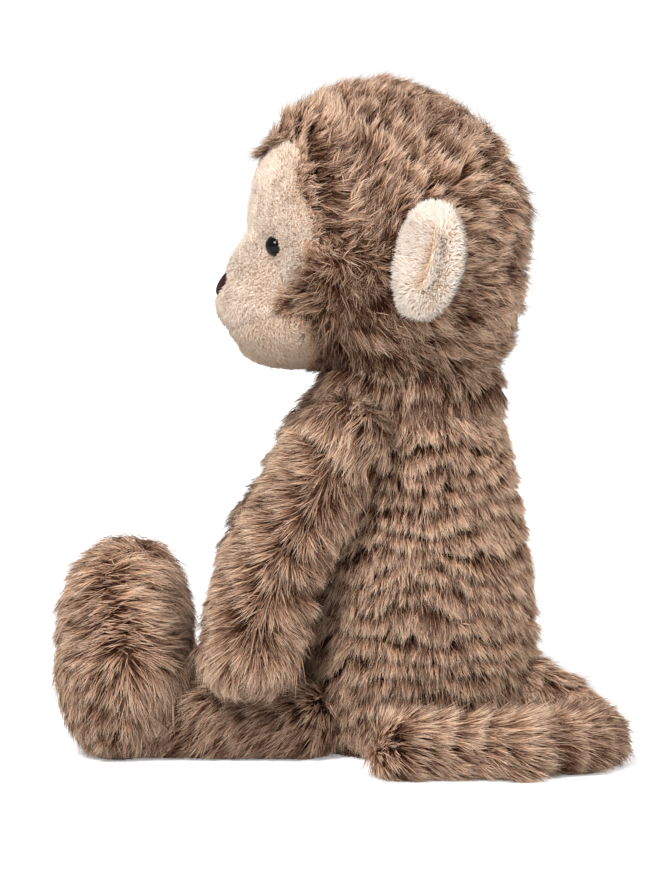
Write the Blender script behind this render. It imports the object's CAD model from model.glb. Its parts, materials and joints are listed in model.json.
import json
import math

import bmesh
import bpy
import numpy as np
from mathutils import Matrix, Vector
from mathutils.bvhtree import BVHTree


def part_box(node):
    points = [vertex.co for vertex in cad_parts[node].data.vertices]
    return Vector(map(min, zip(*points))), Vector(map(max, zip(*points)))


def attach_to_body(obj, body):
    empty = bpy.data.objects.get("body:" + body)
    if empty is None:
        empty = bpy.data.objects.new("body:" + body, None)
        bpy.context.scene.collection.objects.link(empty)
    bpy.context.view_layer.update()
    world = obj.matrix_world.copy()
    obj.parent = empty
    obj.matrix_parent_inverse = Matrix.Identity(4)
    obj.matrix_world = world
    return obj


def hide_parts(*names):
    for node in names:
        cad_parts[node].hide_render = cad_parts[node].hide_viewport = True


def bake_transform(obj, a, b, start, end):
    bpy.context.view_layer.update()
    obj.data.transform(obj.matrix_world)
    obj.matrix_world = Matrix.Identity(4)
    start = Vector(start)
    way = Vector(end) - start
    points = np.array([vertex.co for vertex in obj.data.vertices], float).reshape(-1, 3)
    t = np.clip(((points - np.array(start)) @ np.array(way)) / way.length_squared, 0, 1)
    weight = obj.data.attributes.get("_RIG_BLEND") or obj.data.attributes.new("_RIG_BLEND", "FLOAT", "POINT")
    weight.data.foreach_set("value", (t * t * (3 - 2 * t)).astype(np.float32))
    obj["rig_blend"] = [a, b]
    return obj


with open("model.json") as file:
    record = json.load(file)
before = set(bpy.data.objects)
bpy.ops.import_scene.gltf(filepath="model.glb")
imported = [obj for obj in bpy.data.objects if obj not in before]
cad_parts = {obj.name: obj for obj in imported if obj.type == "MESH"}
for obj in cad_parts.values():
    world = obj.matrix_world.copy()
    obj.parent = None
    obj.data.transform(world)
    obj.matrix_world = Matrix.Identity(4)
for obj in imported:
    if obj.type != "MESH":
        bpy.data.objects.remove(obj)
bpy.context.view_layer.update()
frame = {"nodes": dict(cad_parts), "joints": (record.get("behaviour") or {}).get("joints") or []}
NODES = frame["nodes"]
JOINT = {j["name"]: j for j in frame["joints"]}
MM = 0.001
scene = bpy.context.scene


def mid(node):
    """Middle of a CAD node's box, in mm."""
    lo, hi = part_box(node)
    return np.array((lo + hi) / 2) * 1000


def pivot(joint):
    return np.array(JOINT[joint]["pos_m"]) * 1000


def unit(v):
    v = np.asarray(v, float)
    return v / np.maximum(np.linalg.norm(v, axis=-1, keepdims=True), 1e-9)


def dot(a, b):
    return (a * b).sum(-1, keepdims=True)


def smooth(x, lo, hi):
    t = np.clip((x - lo) / (hi - lo), 0, 1)
    return t * t * (3 - 2 * t)


def waves(seed, scale, k=16):
    """A smooth random function of place, about -1 to 1, with features about scale mm across."""
    r = np.random.default_rng(seed)
    f = unit(r.normal(size=(k, 3))) * (2 * math.pi / scale) * r.uniform(0.45, 1.25, (k, 1))
    phase = r.uniform(0, 2 * math.pi, k)
    return lambda p: np.sin(p @ f.T + phase).sum(1) * math.sqrt(1.2 / k)


def hashed(cell, salt):
    """Repeatable numbers in 0..1 for whole-number cells."""
    c = cell.astype(np.int64)
    h = (c[:, 0] * 73856093) ^ (c[:, 1] * 19349663) ^ (c[:, 2] * 83492791) ^ (salt * 2654435761)
    h = (h ^ (h >> 13)) * 1274126177
    h = (h ^ (h >> 16)) * 668265263
    h ^= h >> 15
    return (h & 0xFFFFFF).astype(float) / 0xFFFFFF


def locks(p, size, salt):
    """The tuft each point belongs to: its centre and two repeatable numbers of its own."""
    g = np.floor(p / size)
    best = np.full(len(p), 1e9)
    centre = np.zeros_like(p)
    mark = np.zeros((len(p), 3))
    for dx in (-1, 0, 1):
        for dy in (-1, 0, 1):
            for dz in (-1, 0, 1):
                c = g + (dx, dy, dz)
                at = (c + 0.1 + 0.8 * np.stack([hashed(c, salt + k) for k in range(3)], 1)) * size
                d = ((at - p) ** 2).sum(1)
                near = d < best
                best[near] = d[near]
                centre[near] = at[near]
                mark[near] = c[near]
    return centre, hashed(mark, salt + 7), hashed(mark, salt + 8), hashed(mark, salt + 9)


# ------------------------------------------------------------------ materials
def tree(name):
    m = bpy.data.materials.new(name)
    m.use_nodes = True
    nt = m.node_tree
    return m, nt, nt.nodes["Principled BSDF"], nt.links


def ramp(nt, stops, x=0):
    r = nt.nodes.new("ShaderNodeValToRGB")
    e = r.color_ramp.elements
    while len(e) > 1:
        e.remove(e[-1])
    e[0].position, e[0].color = stops[0][0], (*stops[0][1], 1)
    for pos, col in stops[1:]:
        n = e.new(pos)
        n.color = (*col, 1)
    return r


def srgb(r, g, b):
    f = lambda c: c / 12.92 if c <= 0.04045 else ((c + 0.055) / 1.055) ** 2.4
    return tuple(f(c / 255) for c in (r, g, b))


def pile(name, dark, light, rough=0.62, sheen=0.25, sheen_tint=(1, 0.9, 0.8)):
    """A strand's colour runs from root to tip along v, and from a dark to a light fibre along u, of its own map."""
    m, nt, p, link = tree(name)
    uv = nt.nodes.new("ShaderNodeUVMap")
    uv.uv_map = "OFBake"
    sep = nt.nodes.new("ShaderNodeSeparateXYZ")
    link.new(uv.outputs["UV"], sep.inputs[0])
    a, b = ramp(nt, dark), ramp(nt, light)
    mix = nt.nodes.new("ShaderNodeMix")
    mix.data_type = "RGBA"
    link.new(sep.outputs["Y"], a.inputs[0])
    link.new(sep.outputs["Y"], b.inputs[0])
    link.new(sep.outputs["X"], mix.inputs["Factor"])
    link.new(a.outputs[0], mix.inputs["A"])
    link.new(b.outputs[0], mix.inputs["B"])
    link.new(mix.outputs["Result"], p.inputs["Base Color"])
    p.inputs["Roughness"].default_value = rough
    p.inputs["Specular IOR Level"].default_value = 0.05
    p.inputs["Sheen Weight"].default_value = sheen
    p.inputs["Sheen Roughness"].default_value = 0.4
    p.inputs["Sheen Tint"].default_value = (*sheen_tint, 1)
    return m


def woven(name, low, high, scale, rough=0.85, bump=0.25, sheen=0.3):
    """Knitted or woven cloth with fine threads and slow blotches."""
    m, nt, p, link = tree(name)
    co = nt.nodes.new("ShaderNodeTexCoord")
    n1 = nt.nodes.new("ShaderNodeTexNoise")
    n1.inputs["Scale"].default_value = scale
    n1.inputs["Detail"].default_value = 6
    n1.inputs["Roughness"].default_value = 0.7
    n2 = nt.nodes.new("ShaderNodeTexNoise")
    n2.inputs["Scale"].default_value = scale * 0.09
    n2.inputs["Detail"].default_value = 3
    w = nt.nodes.new("ShaderNodeTexVoronoi")
    w.inputs["Scale"].default_value = scale * 1.6
    for t in (n1, n2, w):
        link.new(co.outputs["Object"], t.inputs["Vector"])
    add = nt.nodes.new("ShaderNodeMath")
    add.operation = "MULTIPLY_ADD"
    add.inputs[1].default_value = 0.55
    link.new(n2.outputs["Fac"], add.inputs[0])
    half = nt.nodes.new("ShaderNodeMath")
    half.operation = "MULTIPLY"
    half.inputs[1].default_value = 0.5
    link.new(n1.outputs["Fac"], half.inputs[0])
    link.new(half.outputs[0], add.inputs[2])
    r = ramp(nt, [(0.3, low), (0.75, high)])
    link.new(add.outputs[0], r.inputs[0])
    link.new(r.outputs[0], p.inputs["Base Color"])
    b = nt.nodes.new("ShaderNodeBump")
    b.inputs["Strength"].default_value = bump
    b.inputs["Distance"].default_value = 0.0006
    link.new(w.outputs["Distance"], b.inputs["Height"])
    link.new(b.outputs[0], p.inputs["Normal"])
    p.inputs["Roughness"].default_value = rough
    p.inputs["Sheen Weight"].default_value = sheen
    return m


BROWN = pile(
    "brown_pile",
    [(0.0, srgb(16, 4, 1)), (0.35, srgb(34, 12, 5)), (0.65, srgb(60, 28, 14)), (0.88, srgb(88, 51, 31)), (1.0, srgb(110, 72, 49))],
    [(0.0, srgb(48, 23, 13)), (0.35, srgb(124, 83, 59)), (0.65, srgb(203, 164, 136)), (0.88, srgb(239, 208, 181)), (1.0, srgb(252, 228, 205))],
    rough=0.7,
    sheen=0.0,
)
CREAM = pile(
    "cream_pile",
    [(0.0, srgb(158, 112, 78)), (0.5, srgb(194, 158, 128)), (1.0, srgb(218, 192, 168))],
    [(0.0, srgb(206, 176, 150)), (0.5, srgb(232, 214, 197)), (1.0, srgb(245, 233, 221))],
    rough=0.8,
    sheen=0.05,
)
EAR = pile(
    "ear_pile",
    [(0.0, srgb(162, 118, 86)), (0.5, srgb(194, 164, 138)), (1.0, srgb(214, 196, 178))],
    [(0.0, srgb(200, 174, 150)), (0.5, srgb(226, 212, 198)), (1.0, srgb(238, 230, 222))],
    rough=0.8,
    sheen=0.05,
)
FRINGE = pile(
    "fringe_pile",
    [(0.0, srgb(70, 36, 20)), (0.5, srgb(112, 68, 43)), (1.0, srgb(150, 104, 74))],
    [(0.0, srgb(140, 92, 60)), (0.5, srgb(192, 144, 106)), (1.0, srgb(220, 180, 146))],
    rough=0.8,
    sheen=0.0,
)
BROWN_BACK = woven("brown_backing", srgb(46, 25, 15), srgb(86, 56, 39), 900, sheen=0.0)
CREAM_BACK = woven("cream_backing", srgb(186, 146, 110), srgb(214, 182, 150), 900, sheen=0.0)
EAR_BACK = woven("ear_backing", srgb(184, 144, 108), srgb(212, 184, 156), 900, sheen=0.0)
FIBRE = woven("stuffing_fibre", srgb(214, 212, 206), srgb(246, 245, 240), 420, bump=0.6)
BEANS = woven("bean_bag_cloth", srgb(196, 190, 174), srgb(226, 222, 208), 1500, bump=0.4)


def washer_material():
    m, nt, p, link = tree("washer_moulded")
    co = nt.nodes.new("ShaderNodeTexCoord")
    n = nt.nodes.new("ShaderNodeTexNoise")
    n.inputs["Scale"].default_value = 700
    link.new(co.outputs["Object"], n.inputs["Vector"])
    r = ramp(nt, [(0.3, srgb(222, 222, 216)), (0.7, srgb(238, 238, 234))])
    link.new(n.outputs["Fac"], r.inputs[0])
    link.new(r.outputs[0], p.inputs["Base Color"])
    b = nt.nodes.new("ShaderNodeBump")
    b.inputs["Strength"].default_value = 0.08
    link.new(n.outputs["Fac"], b.inputs["Height"])
    link.new(b.outputs[0], p.inputs["Normal"])
    p.inputs["Roughness"].default_value = 0.45
    return m


def eye_material():
    m, nt, p, link = tree("eye_gloss")
    g = nt.nodes.new("ShaderNodeLayerWeight")
    g.inputs["Blend"].default_value = 0.35
    r = ramp(nt, [(0.0, srgb(10, 8, 8)), (0.7, srgb(24, 18, 16)), (1.0, srgb(44, 34, 30))])
    link.new(g.outputs["Facing"], r.inputs[0])
    link.new(r.outputs[0], p.inputs["Base Color"])
    p.inputs["Roughness"].default_value = 0.14
    p.inputs["Specular IOR Level"].default_value = 0.18
    p.inputs["Coat Weight"].default_value = 0.0
    p.inputs["Coat Roughness"].default_value = 0.05
    return m


WASHER, EYE = washer_material(), eye_material()
SUEDE = woven("nose_suede", srgb(32, 15, 11), srgb(62, 34, 27), 1600, rough=0.75, bump=0.5, sheen=0.0)
THREAD = pile("nose_thread", [(0.0, srgb(26, 11, 8)), (1.0, srgb(36, 17, 13))], [(0.0, srgb(58, 31, 25)), (1.0, srgb(76, 46, 38))], rough=0.5, sheen=0.0)


# ------------------------------------------------------------------ skins
def mesh_object(name, verts, faces, material=None, metres=True):
    me = bpy.data.meshes.new(name)
    me.from_pydata([tuple(v) for v in verts], [], [tuple(f) for f in faces])
    me.update()
    ob = bpy.data.objects.new(name, me)
    scene.collection.objects.link(ob)
    if material:
        me.materials.append(material)
    return ob


def coords(me):
    co = np.zeros(len(me.vertices) * 3, np.float32)
    me.vertices.foreach_get("co", co)
    return co.reshape(-1, 3).astype(float) * 1000


def set_coords(me, mm):
    me.vertices.foreach_set("co", (np.asarray(mm) / 1000).astype(np.float32).ravel())
    me.update()


def normals(me):
    no = np.zeros(len(me.vertices) * 3, np.float32)
    me.vertex_normals.foreach_get("vector", no)
    return no.reshape(-1, 3).astype(float)


def applied(ob):
    dg = bpy.context.evaluated_depsgraph_get()
    me = bpy.data.meshes.new_from_object(ob.evaluated_get(dg))
    ob.modifiers.clear()
    old, ob.data = ob.data, me
    bpy.data.meshes.remove(old)
    return ob


def shell(name, node_names, voxel, rounds, extra=None):
    """One closed skin over several CAD nodes: their meshes together, made into one surface and eased."""
    bm = bmesh.new()
    for n in node_names:
        bm.from_mesh(NODES[n].data)
    if extra:
        extra(bm)
    me = bpy.data.meshes.new(name)
    bm.to_mesh(me)
    bm.free()
    ob = bpy.data.objects.new(name, me)
    scene.collection.objects.link(ob)
    r = ob.modifiers.new("skin", "REMESH")
    r.mode, r.voxel_size, r.use_smooth_shade = "VOXEL", voxel * MM, True
    if rounds:
        s = ob.modifiers.new("ease", "SMOOTH")
        s.factor, s.iterations = 0.5, rounds
    return applied(ob)


def padded(ob, pressure=4.0, cap=2.5, frames=14, stiffness=12.0):
    """Stuffed cloth: the skin is inflated by cloth simulation, and no point moves further than cap mm."""
    before = coords(ob.data)
    scene.frame_set(1)
    c = ob.modifiers.new("stuffed", "CLOTH")
    s = c.settings
    s.quality = 4
    s.mass = 0.3
    s.tension_stiffness = s.compression_stiffness = stiffness
    s.shear_stiffness = stiffness * 0.4
    s.bending_stiffness = 0.4
    s.use_pressure = True
    s.uniform_pressure_force = pressure
    s.effector_weights.gravity = 0
    c.collision_settings.use_collision = False
    c.point_cache.frame_start, c.point_cache.frame_end = 1, frames + 1
    for f in range(1, frames + 1):
        scene.frame_set(f)
    dg = bpy.context.evaluated_depsgraph_get()
    after = coords(ob.evaluated_get(dg).data)
    ob.modifiers.clear()
    scene.frame_set(1)
    move = after - before
    size = np.linalg.norm(move, axis=1, keepdims=True)
    move *= np.minimum(1, cap / np.maximum(size, 1e-6))
    move[~np.isfinite(move).all(1)] = 0
    set_coords(ob.data, before + move)
    return ob


def eased(me, co, rounds, factor=0.5):
    """Laplacian easing of a field or of positions over the mesh's edges."""
    e = np.zeros(len(me.edges) * 2, np.int32)
    me.edges.foreach_get("vertices", e)
    e = e.reshape(-1, 2)
    deg = np.bincount(e.ravel(), minlength=len(co)).astype(float)[:, None]
    co = co.copy()
    for _ in range(rounds):
        acc = np.zeros_like(co)
        np.add.at(acc, e[:, 0], co[e[:, 1]])
        np.add.at(acc, e[:, 1], co[e[:, 0]])
        co += factor * (acc / deg - co)
    return co


def subdivided(ob):
    m = ob.modifiers.new("fine", "SUBSURF")
    m.levels = m.render_levels = 1
    return applied(ob)


class Surface:
    """Triangles of a skin for growing pile on, in mm."""

    def __init__(self, ob):
        me = ob.data
        me.calc_loop_triangles()
        self.co, self.no = coords(me), normals(me)
        t = np.zeros(len(me.loop_triangles) * 3, np.int32)
        me.loop_triangles.foreach_get("vertices", t)
        self.tri = t.reshape(-1, 3)
        self.tree = None

    def nearest(self, q):
        """The closest skin point to each point, and the skin's direction there."""
        if self.tree is None:
            self.tree = BVHTree.FromPolygons(self.co.tolist(), self.tri.tolist())
        at, way = np.empty_like(q), np.empty_like(q)
        for i, v in enumerate(q.tolist()):
            hit = self.tree.find_nearest(v)
            at[i], way[i] = hit[0], hit[1]
        return at, way

    def scatter(self, per_mm2, seed, where=None):
        """Points spread evenly over the skin. where gives a share of the density at a place."""
        r = np.random.default_rng(seed)
        a, b, c = (self.co[self.tri[:, k]] for k in range(3))
        area = np.linalg.norm(np.cross(b - a, c - a), axis=1) / 2
        weight = area * per_mm2
        if where is not None:
            weight = weight * where((a + b + c) / 3)
        n = int(weight.sum())
        total = np.cumsum(weight)
        u = (np.arange(n) + r.random(n)) / max(n, 1) * total[-1]
        i = np.searchsorted(total, u).clip(0, len(area) - 1)
        s, q = np.sqrt(r.random(n))[:, None], r.random(n)[:, None]
        t = self.tri[i]
        w = (1 - s, s * (1 - q), s * q)
        p = sum(w[k] * self.co[t[:, k]] for k in range(3))
        n_ = unit(sum(w[k] * self.no[t[:, k]] for k in range(3)))
        order = r.permutation(n)
        return p[order], n_[order]


# ------------------------------------------------------------------ pile
LIMIT = 190000  # triangles in one piece
PIECES = []
VERTS_PER = {}


def strand_mesh(name, path, radii, skin_n, tone, material, soft=0.6, sides=3, start_v=0.0):
    """Closed tapering bristles. path is (strands, rings + 1, 3) in mm, its last point the tip; radii holds one value per ring."""
    n, k = path.shape[0], path.shape[1] - 1
    radii = np.asarray(radii, float)
    if radii.ndim == 1:
        radii = np.broadcast_to(radii, (n, k))
    tan = np.empty((n, k, 3))
    for j in range(k):
        tan[:, j] = path[:, j + 1] - path[:, max(j - 1, 0)]
    tan = unit(tan)
    ref = np.broadcast_to(skin_n[:, None, :], tan.shape)
    s = unit(np.cross(tan, ref))
    bad = np.linalg.norm(np.cross(tan, ref), axis=-1) < 1e-3
    s[bad] = unit(np.cross(tan[bad], np.array([0.31, 0.83, 0.46])))
    u = np.cross(tan, s)
    ang = np.array([-math.pi / 2 + 2 * math.pi * i / sides for i in range(sides)])
    radial = s[:, :, None, :] * np.cos(ang)[None, None, :, None] + u[:, :, None, :] * np.sin(ang)[None, None, :, None]
    ring = path[:, :k, None, :] + radial * radii[:, :, None, None]
    per = sides * k + 1
    verts = np.empty((n, per, 3))
    verts[:, : sides * k] = ring.reshape(n, sides * k, 3)
    verts[:, -1] = path[:, -1]
    nor = np.empty_like(verts)
    nor[:, : sides * k] = (radial * (1 - soft) + skin_n[:, None, None, :] * soft).reshape(n, sides * k, 3)
    nor[:, -1] = unit(path[:, -1] - path[:, -2]) * 0.3 + skin_n
    nor = unit(nor)
    loops, starts, ring_t = [], [], []
    for j in range(k - 1):
        for i in range(sides):
            starts.append(len(loops))
            i2 = (i + 1) % sides
            loops += [j * sides + i, j * sides + i2, (j + 1) * sides + i2, (j + 1) * sides + i]
    for i in range(sides):
        starts.append(len(loops))
        loops += [(k - 1) * sides + i, (k - 1) * sides + (i + 1) % sides, sides * k]
    starts.append(len(loops))
    loops += list(range(sides))[::-1]
    loops, starts = np.array(loops), np.array(starts)
    per_loops = len(loops)
    all_loops = (loops[None, :] + (np.arange(n) * per)[:, None]).ravel().astype(np.int32)
    all_starts = (starts[None, :] + (np.arange(n) * per_loops)[:, None]).ravel().astype(np.int32)
    me = bpy.data.meshes.new(name)
    me.vertices.add(n * per)
    me.loops.add(len(all_loops))
    me.polygons.add(len(all_starts))
    me.vertices.foreach_set("co", (verts.reshape(-1, 3) / 1000).astype(np.float32).ravel())
    me.polygons.foreach_set("loop_start", all_starts)
    me.loops.foreach_set("vertex_index", all_loops)
    me.polygons.foreach_set("use_smooth", np.ones(len(all_starts), bool))
    me.update(calc_edges=True)
    # the colour map: u is the fibre's tone and v runs from root to tip
    lengths = np.concatenate([np.zeros((n, 1)), np.cumsum(np.linalg.norm(np.diff(path, axis=1), axis=-1), axis=1)], axis=1)
    along = (lengths / np.maximum(lengths[:, -1:], 1e-6)).mean(0)
    v_of = start_v + (1 - start_v) * np.append(np.repeat(along[:k], sides), 1.0)
    du_of = np.append(np.tile((np.arange(sides) - 1) * 0.004, k), 0.0)
    uu = np.clip(tone, 0.01, 0.99)[:, None] + du_of[loops][None, :]
    vv = np.broadcast_to(0.01 + 0.98 * v_of[loops][None, :], uu.shape)
    layer = me.uv_layers.new(name="OFBake")
    layer.data.foreach_set("uv", np.stack([uu, vv], -1).astype(np.float32).ravel())
    me.materials.append(material)
    me.normals_split_custom_set_from_vertices(nor.reshape(-1, 3).astype(np.float32))
    ob = bpy.data.objects.new(name, me)
    scene.collection.objects.link(ob)
    return ob


def tris_of(rings, sides=3):
    return sides * 2 * (rings - 1) + sides + 1


def grow(name, p, n, flow, reach, lift, tone, material, attach, lock=None, pull=(0.6, 0.15), radius=0.2, soft=0.6, seed=0, rings=2, bend=0.38, rise=0.72, stray=0.35, order=None, fine=0, wrap=None, hug=0.8, wisp=None, spiky=2.6):
    """Bristles from skin points p: each runs reach mm along flow and ends lift mm above the skin, with its tip drawn to its tuft."""
    r = np.random.default_rng(seed + 991)
    flow = unit(flow - n * dot(flow, n))
    side = np.cross(n, flow)
    reach, lift = np.asarray(reach)[:, None], np.asarray(lift)[:, None]
    draw = np.zeros_like(p)
    if lock is not None:
        d = lock - p
        draw = side * dot(d, side) * pull[0] + flow * dot(d, flow) * pull[1]
    if wisp is not None:
        d = wisp - p
        draw = draw + side * dot(d, side) * 0.7
    jig = r.normal(size=p.shape) * stray * np.array([1.0])
    root = p - n * 0.5
    tip = p + flow * reach + draw
    if wrap is None:
        tip = tip + n * lift
    else:
        at, way = wrap.nearest(tip)
        tip = (tip + n * lift) * (1 - hug) + (at + way * lift) * hug
    tip = tip + jig
    pts = [root]
    steps = {2: (0.5,), 3: (0.36, 0.7)}[rings]
    # a quadratic curve from root to tip whose handle stands off the skin
    handle = p + flow * reach * bend + n * lift * (rise / 0.5 * 0.62) + draw * 0.45 + jig * 0.3
    if wrap is not None:
        straight = root * 0.5 + tip * 0.5 + n * lift * 0.62
        handle = handle * 0.5 + straight * 0.5
    for t in steps:
        pts.append((1 - t) ** 2 * root + 2 * t * (1 - t) * handle + t * t * tip)
    pts.append(tip)
    path = np.stack(pts, 1)
    path[:, 1:, 2] = np.maximum(path[:, 1:, 2], 0.12)  # bristles lie flat where they meet the ground
    rad = np.array([1.0, 0.92, 0.7][:rings])[None, :] * (radius * r.uniform(0.75, 1.25, len(p)))[:, None]
    if order is None:
        order = np.argsort(p[:, 2])
    tone = np.asarray(tone)
    layers = [(name, path[order], rad[order], n[order], tone[order], rings)]
    if fine:
        half = path[:, 1] * 0.5 + path[:, 2] * 0.5 if rings == 2 else path[:, 2]
        half = path[:, 1]
        hs = []
        for _ in range(fine):
            j1, j2 = r.normal(size=p.shape) * 0.45, r.normal(size=p.shape) * 0.75
            out = r.random(len(p))[:, None]
            way = unit(path[:, -1] - half)
            a = half + j1 + n * 0.25 - way * 1.2
            b = path[:, -1] + j2 + way * (out ** 2) * spiky + n * 0.3 * out
            b[:, 2] = np.maximum(b[:, 2], 0.1)
            a[:, 2] = np.maximum(a[:, 2], 0.2)
            hs.append(np.stack([a, b], 1))
        hp = np.concatenate(hs)
        pick = np.concatenate([order + k * len(p) for k in range(fine)])
        pick = pick.reshape(fine, -1).T.ravel()
        ht = np.clip(np.concatenate([tone] * fine) + r.normal(size=len(p) * fine) * 0.3, 0.01, 0.99)
        hr = (0.13 * r.uniform(0.7, 1.2, len(hp)))[:, None]
        nn = np.concatenate([n] * fine)
        layers.append((name + "_fine", hp[pick], hr[pick], nn[pick], ht[pick], 1))
    made = []
    for nm0, pa, ra, nn, to, k in layers:
        per = LIMIT // tris_of(k)
        parts = max(1, math.ceil(len(pa) / per))
        for i, idx in enumerate(np.array_split(np.arange(len(pa)), parts)):
            nm = nm0 if parts == 1 else f"{nm0}_{i + 1}"
            ob = strand_mesh(nm, pa[idx], ra[idx], nn[idx], to[idx], material, soft, start_v=0.45 if k == 1 else 0.0)
            VERTS_PER["now"] = 3 * k + 1
            attach(ob)
            made.append(ob)
    PIECES.extend(made)
    return made


def riding(body):
    def go(ob):
        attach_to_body(ob, body)
    return go


def bending(a, b, start, end):
    def go(ob):
        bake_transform(ob, a, b, start=tuple(np.asarray(start) / 1000), end=tuple(np.asarray(end) / 1000))
    return go


def rows(potential, p, pitch, seed, warp=2.6, fine=1.0):
    """Where a point lies in its row of pile, 0 at the row's start to 1 at its end, and the row's number. The rows wander."""
    s = potential + waves(seed, 26)(p) * warp + waves(seed + 1, 9)(p) * fine
    return np.mod(s / pitch, 1.0), np.floor(s / pitch)


def shag(name, p, n, flow, potential, seed, material, attach, pitch=9.0, over=4.2, lift=5.6, amount=None, size=3.6, length=1.0, base_tone=0.5, radius=0.17, rings=2, warp=2.6, soft=0.45, stray=0.4, order=None, fine=1, pull=0.5, wrap=None, hug=0.8, wisps=1.7, contrast=1.34, spiky=2.6, swirl=0.5, ragged=0.35, loose=0.08, even=1.0, keen=1.0):
    """Long pile in wandering rows whose tips end together, in tufts. amount fades the rows out where it is 0."""
    amount = np.ones(len(p)) if amount is None else np.broadcast_to(amount, len(p))
    phase, number = rows(potential, p, pitch, seed, warp, even)
    patchy = smooth(waves(seed + 3, 22)(p), -0.9, 0.5)
    amount = amount * (0.6 + 0.4 * patchy)
    centre, a, b, c = locks(p, size, seed * 13 + 5)
    r = np.random.default_rng(seed + 17)
    length = np.broadcast_to(length, len(p))
    plain = (0.62 * pitch + over) * (0.75 + 0.5 * r.random(len(p)))
    to_edge = (1 - phase) * pitch + over * (0.7 + 0.6 * a) + r.normal(size=len(p)) * 0.8
    reach = (amount * to_edge + (1 - amount) * plain) * length
    high = lift * (0.9 + (0.66 * phase - 0.34) * amount + ragged * (b - 0.5)) * (0.85 + 0.3 * r.random(len(p))) * np.sqrt(length)
    side = np.cross(n, unit(flow - n * dot(flow, n)))
    fl = unit(flow) + side * ((c - 0.5) * swirl + r.normal(size=len(p)) * loose)[:, None]
    wc, wa, wb, wd = locks(p, wisps, seed * 7 + 3)
    reach = reach * (0.86 + 0.28 * wa)
    high = high * (0.82 + 0.36 * wb)
    hollow_ = 1 - smooth(phase, 0.12, 0.62)
    tone = base_tone + contrast * ((0.14 - 0.46 * hollow_) * amount * keen + 0.14 * (c - 0.5) + 0.6 * (wd - 0.5) + r.normal(size=len(p)) * 0.22 + waves(seed + 6, 7)(p) * 0.08) + waves(seed + 5, 34)(p) * 0.05
    return grow(name, p, n, fl, reach, high, np.clip(tone, 0.02, 0.98), material, attach, lock=centre, pull=(pull, 0.1), radius=radius, soft=soft, seed=seed, rings=rings, stray=stray, order=order, fine=fine, wrap=wrap, hug=hug, wisp=wc, spiky=spiky)


def joined(name, node_names, extra=()):
    """The meshes of several CAD nodes, and any (verts in mm, triangles), as one object."""
    vs, ts, base = [], [], 0
    for n in node_names:
        me = NODES[n].data
        me.calc_loop_triangles()
        t = np.zeros(len(me.loop_triangles) * 3, np.int32)
        me.loop_triangles.foreach_get("vertices", t)
        v = coords(me)
        vs.append(v)
        ts.append(t.reshape(-1, 3) + base)
        base += len(v)
    for v, t in extra:
        vs.append(np.asarray(v, float))
        ts.append(np.asarray(t) + base)
        base += len(v)
    v, t = np.concatenate(vs), np.concatenate(ts)
    me = bpy.data.meshes.new(name)
    me.vertices.add(len(v))
    me.loops.add(t.size)
    me.polygons.add(len(t))
    me.vertices.foreach_set("co", (v / 1000).astype(np.float32).ravel())
    me.polygons.foreach_set("loop_start", np.arange(0, t.size, 3, dtype=np.int32))
    me.loops.foreach_set("vertex_index", t.astype(np.int32).ravel())
    me.update(calc_edges=True)
    ob = bpy.data.objects.new(name, me)
    scene.collection.objects.link(ob)
    return ob


def largest(ob):
    """Keeps only the outermost closed surface of a remeshed object."""
    bm = bmesh.new()
    bm.from_mesh(ob.data)
    bm.verts.ensure_lookup_table()
    left, groups = set(range(len(bm.verts))), []
    while left:
        seed = left.pop()
        todo, group = [bm.verts[seed]], [seed]
        while todo:
            v = todo.pop()
            for e in v.link_edges:
                i = e.other_vert(v).index
                if i in left:
                    left.remove(i)
                    group.append(i)
                    todo.append(bm.verts[i])
        groups.append(group)
    keep = set(max(groups, key=len))
    bmesh.ops.delete(bm, geom=[v for v in bm.verts if v.index not in keep], context="VERTS")
    bm.to_mesh(ob.data)
    bm.free()
    return ob


def skin(name, node_names, voxel, rounds, extra=()):
    ob = joined(name, node_names, extra)
    r = ob.modifiers.new("skin", "REMESH")
    r.mode, r.voxel_size, r.use_smooth_shade = "VOXEL", voxel * MM, True
    applied(ob)
    largest(ob)
    if rounds:
        set_coords(ob.data, eased(ob.data, coords(ob.data), rounds))
    ob.data.polygons.foreach_set("use_smooth", np.ones(len(ob.data.polygons), bool))
    return ob


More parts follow.
